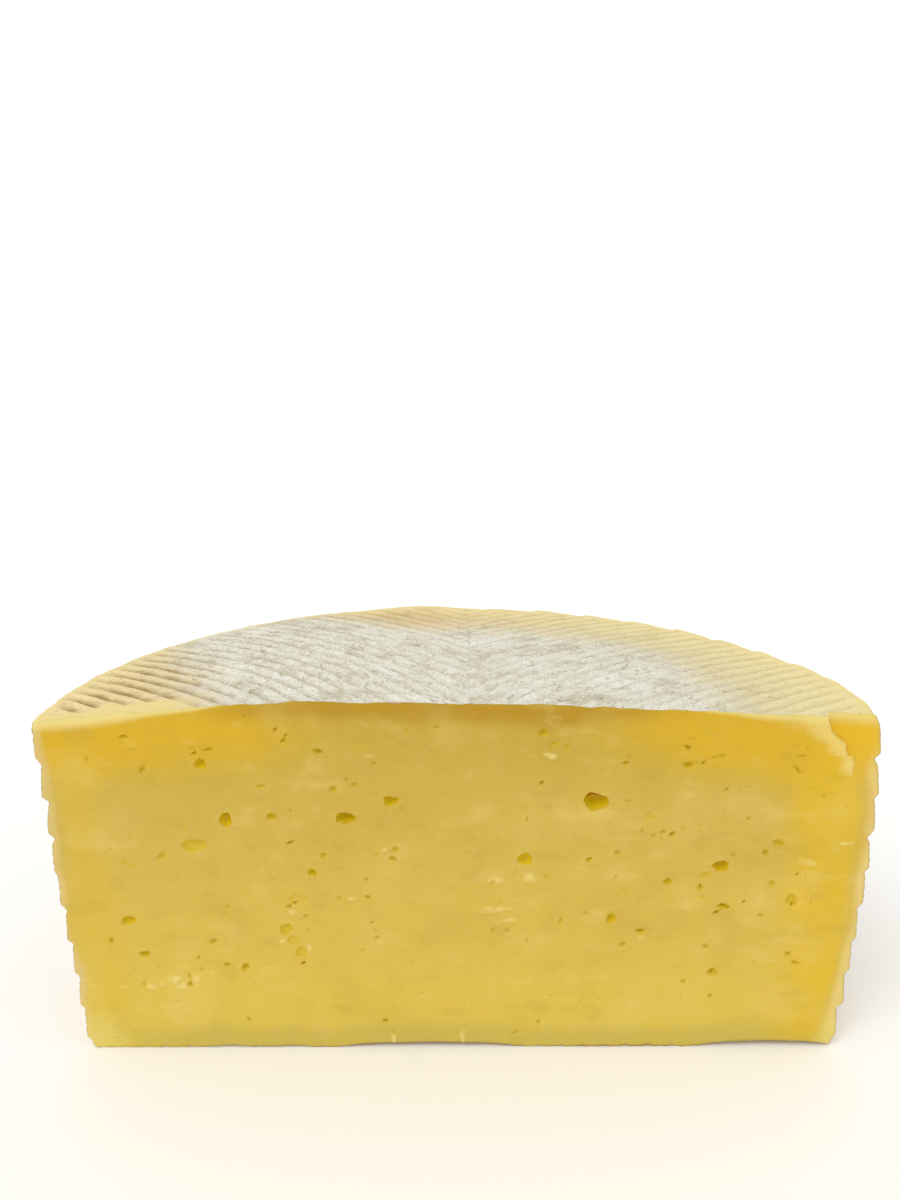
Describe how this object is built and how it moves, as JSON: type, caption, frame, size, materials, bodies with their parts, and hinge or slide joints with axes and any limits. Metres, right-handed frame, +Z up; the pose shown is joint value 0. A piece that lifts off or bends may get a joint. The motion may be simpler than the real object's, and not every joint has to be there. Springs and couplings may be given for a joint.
{
  "type": "manchego cheese half wheel",
  "caption": "Half a wheel of firm pressed sheep's milk cheese, cut through its middle, with eyes in the cut face and a printed rind.",
  "frame": {"origin": "centre of the footprint's box, on the plane that the base stands on", "axes": "+X to the right along the cut face, -Y out of the cut face, +Z up"},
  "size_m": [0.203, 0.1014, 0.0981],
  "materials": {
    "paste": "satin, slightly moist, ivory to golden yellow, with eyes",
    "rind": "dry, printed with a plaited band and ridged boards, with pale bloom on the top"
  },
  "bodies": {
    "root": {"half_wheel": "paste"}
  },
  "joints": []
}
